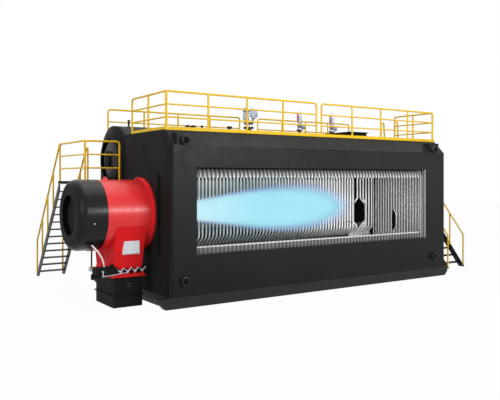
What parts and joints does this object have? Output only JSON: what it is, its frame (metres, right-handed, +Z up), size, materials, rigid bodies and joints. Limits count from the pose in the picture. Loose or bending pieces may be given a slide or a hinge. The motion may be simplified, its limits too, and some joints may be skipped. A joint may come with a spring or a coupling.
{
  "type": "industrial water-tube boiler",
  "caption": "Packaged D-type water-tube boiler on a skid, with burner, cut-away furnace window, drums, tube walls, platforms, stairs and guard rails.",
  "frame": {"origin": "centre of the skid's underside, on its middle cross member", "axes": "+X along the body away from the burner, +Z up, the window side faces -Y"},
  "size_m": [14.833, 7.82, 5.814],
  "materials": {
    "casing_black": "gloss",
    "skid_black": "satin",
    "drum_black": "satin",
    "tube_steel": "satin",
    "refractory": "matte",
    "burner_red": "gloss",
    "burner_black": "gloss",
    "box_white": "satin",
    "link_zinc": "satin",
    "gas_train": "gloss",
    "hose_grey": "satin",
    "stair_black": "satin",
    "rail_yellow": "gloss",
    "valve_silver": "satin"
  },
  "bodies": {
    "root": {"skid_beams": "skid_black", "skid_cross_members": "skid_black", "casing_floor": "casing_black", "near_wall_lower": "casing_black", "near_wall_piers": "casing_black", "near_wall_upper": "casing_black", "far_wall": "casing_black", "roof_deck": "casing_black", "drum_casing": "casing_black", "front_wall": "casing_black", "rear_wall": "casing_black", "rear_access_door": "casing_black", "steam_drum": "drum_black", "water_drum": "drum_black", "drum_end_covers": "casing_black", "manhole_covers": "drum_black", "trunnions": "casing_black", "division_wall_tubes": "tube_steel", "exit_screen_tubes": "tube_steel", "furnace_roof_tubes": "tube_steel", "furnace_floor_tubes": "tube_steel", "near_wall_bends": "tube_steel", "near_wall_tubes": "tube_steel", "end_tube_walls": "tube_steel", "burner_throat": "refractory", "burner_mount_plate": "casing_black", "burner_body": "burner_red", "burner_cap": "burner_black", "air_hood": "burner_red", "intake_box": "burner_black", "junction_box": "box_white", "damper_actuator": "burner_black", "damper_linkage": "link_zinc", "pilot_gas_train": "gas_train", "burner_hose": "hose_grey", "platform_decks": "stair_black", "rear_landing": "stair_black", "platform_supports": "stair_black", "stair_stringers": "stair_black", "stair_treads": "stair_black", "stair_rails": "rail_yellow", "platform_rails_outer": "rail_yellow", "platform_rails_side": "rail_yellow", "roof_rail_side": "rail_yellow", "roof_rail_ends": "rail_yellow", "roof_rail_far": "rail_yellow", "kick_plates": "rail_yellow", "roof_ladder": "rail_yellow", "main_steam_valve": "valve_silver", "safety_valves": "valve_silver", "drum_nozzles": "burner_black", "flue_outlet": "burner_black"}
  },
  "joints": []
}
